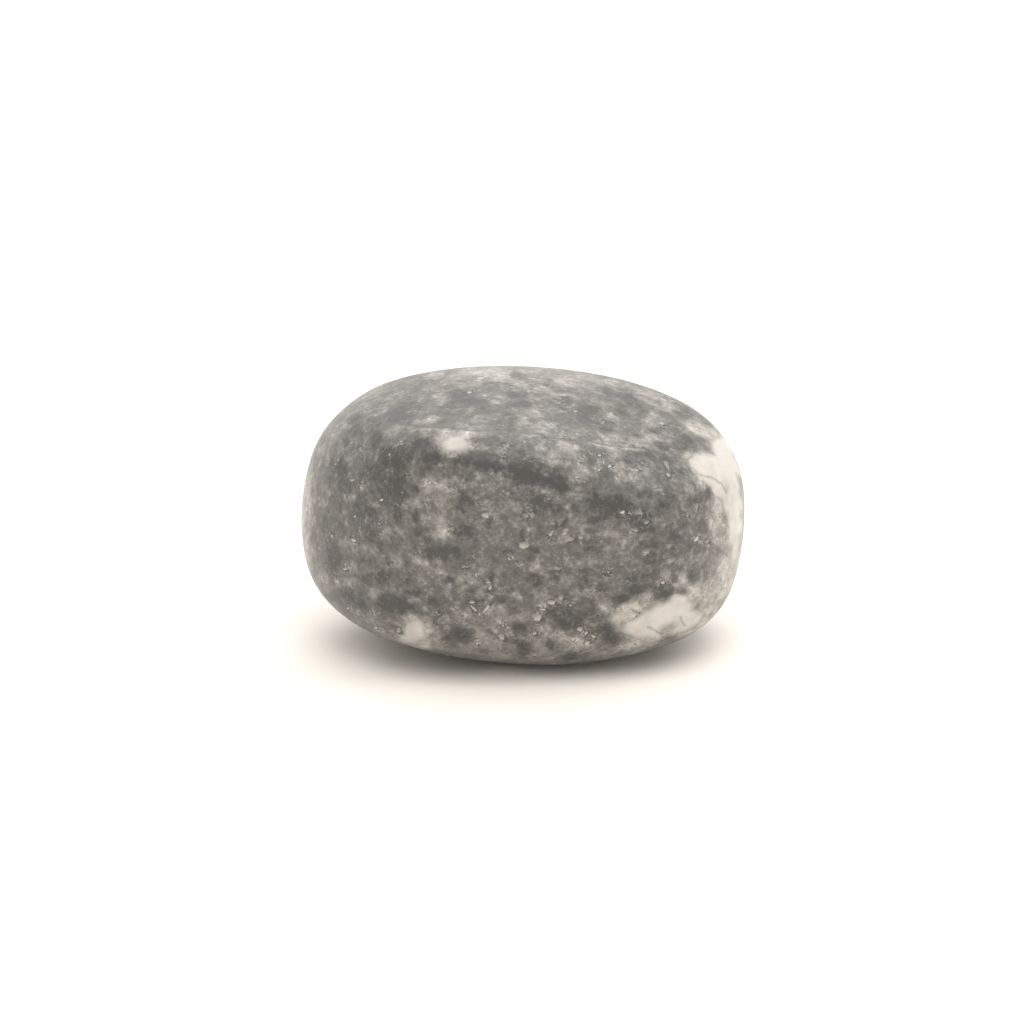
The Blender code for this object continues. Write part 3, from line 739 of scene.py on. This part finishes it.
def paint_markings(skin, markings):
    """Keep what the material needs to know of the markings for each point of the skin."""
    points, normals = points_and_normals(skin)
    facing = smooth_step(*HAIRLINE_GRAZING, squareness(points, normals))
    seen = seen_coordinates(points)
    seam, seam_strength = hairlines(SEAM_LINES, seen)
    crack, crack_strength = hairlines(CRACK_LINES, seen)
    paleness, whiteness = markings.tones(points, normals)
    axes, distance, crystal_paleness = markings.nearest_crystal(points, normals)
    for name, values in (
        ("paleness", paleness),
        ("whiteness", whiteness),
        ("seam", seam),
        ("seam_strength", seam_strength * facing),
        ("crack", crack),
        ("crack_strength", crack_strength * facing),
        ("crystal_distance", distance),
        ("crystal_along", axes[:, 0]),
        ("crystal_sideways", axes[:, 1]),
        ("crystal_paleness", crystal_paleness),
    ):
        attribute = skin.data.attributes.new(name, "FLOAT", "POINT")
        attribute.data.foreach_set("value", values.astype(np.float32))


# ---------------------------------------------------------------- the stone's finish


class Amount:
    """A number that a material's nodes work out, so that sums with it read as plain sums."""

    def __init__(self, nodes, socket):
        self.nodes = nodes
        self.socket = socket

    def worked(self, operation, *others):
        node = self.nodes.add("ShaderNodeMath", operation.lower(), operation=operation)
        for socket, value in zip(node.inputs, (self, *others)):
            self.nodes.put(socket, value)
        return Amount(self.nodes, node.outputs[0])

    def __add__(self, other):
        return self.worked("ADD", other)

    def __sub__(self, other):
        return self.worked("SUBTRACT", other)

    def __mul__(self, other):
        return self.worked("MULTIPLY", other)

    def __abs__(self):
        return self.worked("ABSOLUTE")

    def at_least(self, other):
        return self.worked("MAXIMUM", other)

    def at_most(self, other):
        return self.worked("MINIMUM", other)


class Nodes:
    """The nodes of a material, with a short way to add each kind that the stone needs."""

    def __init__(self, material):
        material.use_nodes = True
        self.tree = material.node_tree
        self.shader = self.tree.nodes["Principled BSDF"]

    def add(self, kind, label, **settings):
        node = self.tree.nodes.new(kind)
        node.label = label
        for name, value in settings.items():
            setattr(node, name, value)
        return node

    def put(self, socket, value):
        """Link a socket to another one or to an amount, or set it to a number or a colour."""
        value = getattr(value, "socket", value)
        if isinstance(value, bpy.types.NodeSocket):
            self.tree.links.new(value, socket)
        else:
            socket.default_value = value

    def feed(self, node, **values):
        """Set or link a node's inputs by name; an underscore stands for a space."""
        for name, value in values.items():
            self.put(node.inputs[name.replace("_", " ")], value)
        return node

    def painted(self, name):
        node = self.add("ShaderNodeAttribute", name, attribute_name=name)
        return Amount(self, node.outputs["Fac"])

    def noise(self, label, place, size, detail, roughness, output="Fac"):
        """Noise whose largest features are about size mm across."""
        node = self.add("ShaderNodeTexNoise", label)
        self.feed(node, Vector=place, Scale=1.0 / size, Detail=detail, Roughness=roughness)
        return Amount(self, node.outputs[output])

    def step(self, label, value, low, high, to_low=0.0, to_high=1.0):
        """A smooth step of a value from low to high."""
        node = self.add("ShaderNodeMapRange", label, interpolation_type="SMOOTHSTEP")
        self.feed(node, Value=value, From_Min=low, From_Max=high, To_Min=to_low, To_Max=to_high)
        return Amount(self, node.outputs["Result"])

    def blend(self, label, share, first, second):
        """Blend one tone into another by a share from 0 to 1."""
        node = self.add("ShaderNodeMix", label, data_type="FLOAT")
        for socket, value in zip((node.inputs[0], node.inputs[2], node.inputs[3]), (share, first, second)):
            self.put(socket, value)
        return Amount(self, node.outputs[0])

    def drawn(self, cells, channel):
        """A number from 0 to 1 of its own for each cell."""
        draws = self.add("ShaderNodeSeparateColor", "each grain's draw")
        self.put(draws.inputs[0], cells.outputs["Color"])
        return Amount(self, draws.outputs[channel])

    def mosaic(self, label, place, cells_per_mm, smoothness):
        """A shade of its own, about 0, for each grain of a mosaic."""
        cells = self.add("ShaderNodeTexVoronoi", label, feature="SMOOTH_F1")
        self.feed(cells, Vector=place, Scale=cells_per_mm, Smoothness=smoothness)
        return self.drawn(cells, 0) - 0.5

    def strewn(self, label, place, cells_per_mm, largest, share, softness):
        """Small grains strewn at random, one in a share of the cells: 1 inside, 0 between."""
        cells = self.add("ShaderNodeTexVoronoi", label, distance="MINKOWSKI")
        self.feed(cells, Vector=place, Scale=cells_per_mm, Exponent=GRAIN_ROUNDNESS)
        size = (self.drawn(cells, 1) * (1.0 / share) - (1.0 / share - 1.0)) * largest
        return self.step(label, size - Amount(self, cells.outputs["Distance"]), 0.0, softness)


def bent_places(nodes, spot):
    """Places on the stone, shifted to and fro so that no grain follows a straight line."""
    bend = nodes.add("ShaderNodeVectorMath", "bend the grain", operation="MULTIPLY_ADD")
    swirl = nodes.noise("swirl", spot, SWIRL_SIZE, 1.0, 0.5, output="Color")
    for socket, value in zip(bend.inputs, (swirl, (SWIRL_REACH,) * 3, spot)):
        nodes.put(socket, value)
    return bend.outputs[0]


def grain_tone(nodes, spot, bent):
    """The mottle between the marks: clouds and grains, about 0 on the whole."""
    tone = 0.0
    for label, place, size, share in (
        ("clouds", bent, 2.2, 0.36), ("mottle", bent, 0.90, 0.60), ("fine mottle", spot, 0.35, 0.45),
    ):
        tone = (nodes.noise(label, place, size, 2.0, 0.5) - 0.5) * share + tone
    for label, cells_per_mm, share in (
        ("grains", 1.9, 0.15), ("small grains", 4.5, 0.15), ("finest grains", 9.0, 0.14),
    ):
        tone += nodes.mosaic(label, bent, cells_per_mm, 0.4) * share
    return tone


def crystal_masks(nodes, fine):
    """The placed crystals: inside one, made paler on one side by painted light, its outline, and the pit
    beside it.
    """
    along = nodes.painted("crystal_along")
    sideways = nodes.painted("crystal_sideways")
    round_reach = (along * along + sideways * sideways).worked("SQRT")
    slant = abs(sideways * 0.6 + along) * 0.85
    straight_reach = abs(along).at_least(abs(sideways)).at_least(slant)
    reach = (straight_reach + round_reach) * 0.5 + fine * 2.4
    inside = nodes.step("inside a crystal", reach, 1.05, 0.60)
    # Painted light and shade: each crystal is full bright on one side and dims to about half on the other.
    light = nodes.step("lit side of a crystal", sideways, 0.9, -0.9, 0.55, 1.0)
    outline = nodes.step("outline", reach, 1.6, 1.05)
    pit_along = along - PIT_PLACE[0]
    pit_sideways = sideways - PIT_PLACE[1]
    pit = nodes.step("pit", pit_along * pit_along + pit_sideways * pit_sideways, 0.8, 0.2)
    return inside * light, outline, pit


def stone_tone(nodes, spot):
    """How pale the stone is, from 0, its darkest mineral, to 1, white feldspar."""
    bent = bent_places(nodes, spot)
    ragged = nodes.noise("ragged edges", bent, 0.7, 3.0, 0.7) - 0.5
    fine = nodes.noise("edge grain", spot, 0.3, 3.0, 0.6) - 0.5
    crumbs = nodes.noise("crumbs", spot, 0.15, 2.0, 0.7) - 0.5

    # The grey ground, paler in the clouds and darker in the pools.
    paleness = nodes.painted("paleness")
    cloud = paleness.at_least(0.0) * (ragged * 0.8 + 1.0)
    pool = paleness.at_most(0.0) * (fine * -3.0 + ragged * -3.2 - 1.0)
    tone = cloud * CLOUD_LIFT + (pool * pool * -0.30 + pool) * -POOL_SINK + TONE_GROUND
    calm = cloud.at_most(1.0) * -CALM_IN_CLOUDS + 1.0
    tone += (grain_tone(nodes, spot, bent) + crumbs * 0.24) * calm

    # Clusters of specks, here and there and round each crystal.
    cluster = nodes.step("speck clusters", nodes.noise("clusters", bent, 1.1, 1.0, 0.5), 0.63, 0.72)
    near_crystal = nodes.step("specks round a crystal", nodes.painted("crystal_distance"), 0.55, 0.15)
    cluster = cluster.at_least(near_crystal) * calm
    tone += nodes.mosaic("specks", spot, 8.0, 0.1) * cluster * SPECK_STRENGTH

    # Single grains, and glints, which are painted highlights: tiny bright spots strewn like grains.
    flecks = nodes.strewn("dark flecks", bent, *FLECKS)
    tone = nodes.blend("dark flecks", flecks * FLECK_STRENGTH, tone, TONE_FLECK)
    laths = nodes.strewn("pale grains", bent, *LATHS)
    tone = nodes.blend("pale grains", laths * LATH_STRENGTH, tone, tone + LATH_LIFT)
    painted_glints = nodes.strewn("painted_glints", bent, *PAINTED_GLINTS)
    tone = nodes.blend("painted_glints", painted_glints * PAINTED_GLINT_STRENGTH, tone, TONE_PAINTED_GLINT)

    # The pools' dark hearts and the white feldspar, with crumbled edges.
    breaks = (crumbs * 2.4 + ragged * 2.6 + fine * 1.8) * (pool * 3.0).at_most(1.0)
    dark = nodes.step("dark pools", pool * 0.75 + breaks, 0.34, 0.62, 0.0, 0.80)
    tone = nodes.blend("dark pools", dark, tone, fine * 0.5 + TONE_POOL)
    whiteness = nodes.painted("whiteness")
    white = whiteness + ragged * 0.6 + fine * 0.6 + crumbs * 0.3
    white = nodes.step("white feldspar", white, 0.12, 0.74, 0.0, 0.96)
    milk = nodes.noise("milky feldspar", bent, 0.9, 3.0, 0.6) * 0.30 + whiteness * 0.50 + 0.28
    tone = nodes.blend("white feldspar", white, tone, milk)

    inside, outline, pit = crystal_masks(nodes, fine)
    off_white = white * -0.8 + 1.0
    tone = nodes.blend("outlines", outline * off_white * OUTLINE_STRENGTH, tone, TONE_OUTLINE)
    # Each crystal's pit is darkened, partly dirt and partly painted shade in the hollow.
    tone = nodes.blend("pits", pit * off_white * PIT_DIRT_AND_SHADE_STRENGTH, tone, TONE_PIT_DIRT_AND_SHADE)
    # The crystals, with painted light and shade across each one from the mask above.
    tone = nodes.blend("crystals", inside, tone, nodes.painted("crystal_paleness") * 0.50 + 0.43)

    # The seam, a broken dark line with a pale lip above it, and the cracks.
    shaken = nodes.painted("seam") + fine * 0.22
    broken = nodes.step("broken seam", nodes.noise("breaks", spot, 1.3, 1.0, 0.5), 0.32, 0.52)
    broken *= nodes.painted("seam_strength")
    line = nodes.step("seam line", abs(shaken), 0.10, 0.02) * broken
    tone = nodes.blend("seam line", line * SEAM_STRENGTH, tone, TONE_SEAM)
    lip = (abs(shaken * 6.0 + 1.2) * -1.0 + 1.0).at_least(0.0)
    tone += lip * broken * LIP_LIFT
    shaken = nodes.painted("crack") + fine * 0.30
    line = nodes.step("crack line", abs(shaken), 0.13, 0.02) * nodes.painted("crack_strength")
    return nodes.blend("crack line", line * CRACK_STRENGTH, tone, TONE_CRACK)


def stone_material(colours):
    material = bpy.data.materials.new("polished_bluestone")
    nodes = Nodes(material)
    place = nodes.add("ShaderNodeTexCoord", "place on the stone")
    in_mm = nodes.add("ShaderNodeMapping", "in mm")
    nodes.feed(in_mm, Vector=place.outputs["Object"], Scale=(1.0 / MM,) * 3)
    spot = in_mm.outputs["Vector"]

    ramp = nodes.add("ShaderNodeValToRGB", "stone colours")
    stops = ramp.color_ramp.elements
    stops[0].position = TONE_DEEP
    stops[0].color = (*colours.deep, 1.0)
    stops[1].position = TONE_WHITE
    stops[1].color = (*colours.feldspar, 1.0)
    for position, colour in ((TONE_MIDDLE, colours.middle), (TONE_PALE, colours.pale)):
        stops.new(position).color = (*colour, 1.0)
    nodes.feed(ramp, Fac=stone_tone(nodes, spot))

    fine = nodes.noise("fine grain", spot, POLISH_GRAIN, 3.0, 0.6)
    rough = nodes.step("gloss varies", fine, 0.3, 0.7, *POLISH_ROUGHNESS)
    bump = nodes.add("ShaderNodeBump", "fine grain relief")
    nodes.feed(bump, Height=fine, Distance=POLISH_RELIEF * MM, Strength=0.5)
    colour = ramp.outputs["Color"]
    nodes.feed(nodes.shader, Base_Color=colour, Roughness=rough, Normal=bump.outputs["Normal"])
    return material


# ---------------------------------------------------------------- settings


class BluestoneShape(PropertyGroup):
    wave_height: FloatProperty(
        name="Wave height", description="Height of the low waves left by tumbling",
        default=0.02 * MM, min=0.0, unit="LENGTH",
    )
    seam_depth: FloatProperty(
        name="Seam depth", description="Depth of the groove along the seam",
        default=0.03 * MM, min=0.0, unit="LENGTH",
    )
    pit_depth: FloatProperty(
        name="Pit depth", description="Depth of the pit at each small crystal",
        default=0.04 * MM, min=0.0, unit="LENGTH",
    )
    hidden_crystals: IntProperty(
        name="Hidden crystals", description="Small crystals on the back, ends and underside",
        default=80, min=0,
    )


class BluestoneColours(PropertyGroup):
    deep: FloatVectorProperty(
        name="Deep", description="Colour of the darkest minerals",
        default=(0.048, 0.046, 0.043), subtype="COLOR",
    )
    middle: FloatVectorProperty(
        name="Middle", description="Colour of the grey ground",
        default=(0.112, 0.108, 0.099), subtype="COLOR",
    )
    pale: FloatVectorProperty(
        name="Pale", description="Colour of the pale clouds",
        default=(0.231, 0.218, 0.197), subtype="COLOR",
    )
    feldspar: FloatVectorProperty(
        name="Feldspar", description="Colour of the white feldspar",
        default=(0.54, 0.508, 0.472), subtype="COLOR",
    )


class BluestoneStage(PropertyGroup):
    dome_strength: FloatProperty(
        name="Dome", description="Brightness of the white dome", default=1.02, min=0.0,
    )
    softbox_power: FloatProperty(
        name="Softboxes", description="Power of the four softboxes together",
        default=1.26, min=0.0, unit="POWER",
    )
    softbox_size: FloatProperty(
        name="Softbox size", description="Length of a softbox's side",
        default=0.25, min=0.01, unit="LENGTH",
    )
    floor_size: FloatProperty(
        name="Floor size", description="Length of the floor's side",
        default=4.0, min=0.1, unit="LENGTH",
    )
    floor_colour: FloatVectorProperty(
        name="Floor colour", description="Colour of the pale floor",
        default=(0.88, 0.85, 0.81), subtype="COLOR",
    )


# ---------------------------------------------------------------- operators


class BLUESTONE_OT_make_stone(Operator):
    """Make the polished skin that stands for the solid pebble"""

    bl_idname = "bluestone.make_stone"
    bl_label = "Make stone"

    def execute(self, context):
        shape = context.scene.bluestone_shape
        skin = copy_of_node()
        subdivide_smoothly(skin)
        markings = Markings(skin, shape.hidden_crystals)
        refine(skin, markings.need_detail)
        add_relief(skin, markings, shape)
        paint_markings(skin, markings)
        activate(skin)
        bpy.ops.object.shade_smooth()
        skin.data.materials.append(stone_material(context.scene.bluestone_colours))
        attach(skin, "root")
        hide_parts(NODE)
        return {"FINISHED"}


class BLUESTONE_OT_make_stage(Operator):
    """Make the pale floor, the soft light and the camera"""

    bl_idname = "bluestone.make_stage"
    bl_label = "Make stage"

    def execute(self, context):
        settings = context.scene.bluestone_stage
        make_floor(settings)
        make_dome(settings)
        for name, place, share in SOFTBOXES:
            make_softbox(name, Vector(place), share * settings.softbox_power, settings.softbox_size)
        make_camera(context)
        context.scene.view_settings.view_transform = "Standard"
        return {"FINISHED"}


def make_floor(settings):
    deselect_all()
    bpy.ops.mesh.primitive_plane_add(size=settings.floor_size, location=(0.0, 0.0, 0.0))
    floor = bpy.context.active_object
    floor.name = "floor"
    material = bpy.data.materials.new("pale_floor")
    nodes = Nodes(material)
    colour = (*settings.floor_colour, 1.0)
    nodes.feed(nodes.shader, Base_Color=colour, Roughness=FLOOR_ROUGHNESS, Specular_IOR_Level=0.0)
    floor.data.materials.append(material)


def make_dome(settings):
    dome = bpy.data.worlds.new("white dome")
    dome.use_nodes = True
    background = dome.node_tree.nodes["Background"]
    background.inputs["Color"].default_value = DOME_COLOUR
    background.inputs["Strength"].default_value = settings.dome_strength
    bpy.context.scene.world = dome


def make_softbox(name, place, power, size):
    """A square softbox that faces the pebble."""
    deselect_all()
    bpy.ops.object.light_add(type="AREA", location=place)
    softbox = bpy.context.active_object
    softbox.name = name
    softbox.data.shape = "SQUARE"
    softbox.data.size = size
    softbox.data.energy = power
    softbox.data.color = SOFTBOX_COLOUR
    softbox.rotation_euler = (STONE_MIDDLE - place).to_track_quat("-Z", "Y").to_euler()
    softbox.visible_camera = False


def make_camera(context):
    deselect_all()
    bpy.ops.object.camera_add(location=EYE)
    camera = context.active_object
    camera.name = "camera"
    camera.rotation_euler = SIGHT.to_track_quat("-Z", "Y").to_euler()
    camera.data.lens = CAMERA_LENS_MM
    camera.data.sensor_width = CAMERA_SENSOR_MM
    camera.data.clip_start, camera.data.clip_end = CAMERA_CLIP
    context.scene.camera = camera


class BLUESTONE_PT_panel(Panel):
    """The bluestone's pieces and their settings"""

    bl_label = "Bluestone"
    bl_space_type = "VIEW_3D"
    bl_region_type = "UI"
    bl_category = "Bluestone"

    def draw(self, context):
        layout = self.layout
        for title, settings, operator in (
            ("Stone", context.scene.bluestone_shape, BLUESTONE_OT_make_stone),
            ("Colours", context.scene.bluestone_colours, None),
            ("Stage", context.scene.bluestone_stage, BLUESTONE_OT_make_stage),
        ):
            box = layout.box()
            box.label(text=title)
            for name in settings.__annotations__:
                box.prop(settings, name)
            if operator:
                box.operator(operator.bl_idname)


CLASSES = (
    BluestoneShape,
    BluestoneColours,
    BluestoneStage,
    BLUESTONE_OT_make_stone,
    BLUESTONE_OT_make_stage,
    BLUESTONE_PT_panel,
)


def register():
    for cls in CLASSES:
        bpy.utils.register_class(cls)
    bpy.types.Scene.bluestone_shape = PointerProperty(type=BluestoneShape)
    bpy.types.Scene.bluestone_colours = PointerProperty(type=BluestoneColours)
    bpy.types.Scene.bluestone_stage = PointerProperty(type=BluestoneStage)


def unregister():
    del bpy.types.Scene.bluestone_stage
    del bpy.types.Scene.bluestone_colours
    del bpy.types.Scene.bluestone_shape
    for cls in reversed(CLASSES):
        bpy.utils.unregister_class(cls)


def main():
    register()
    bpy.ops.bluestone.make_stone()
    bpy.ops.bluestone.make_stage()


if __name__ == "__main__":
    main()
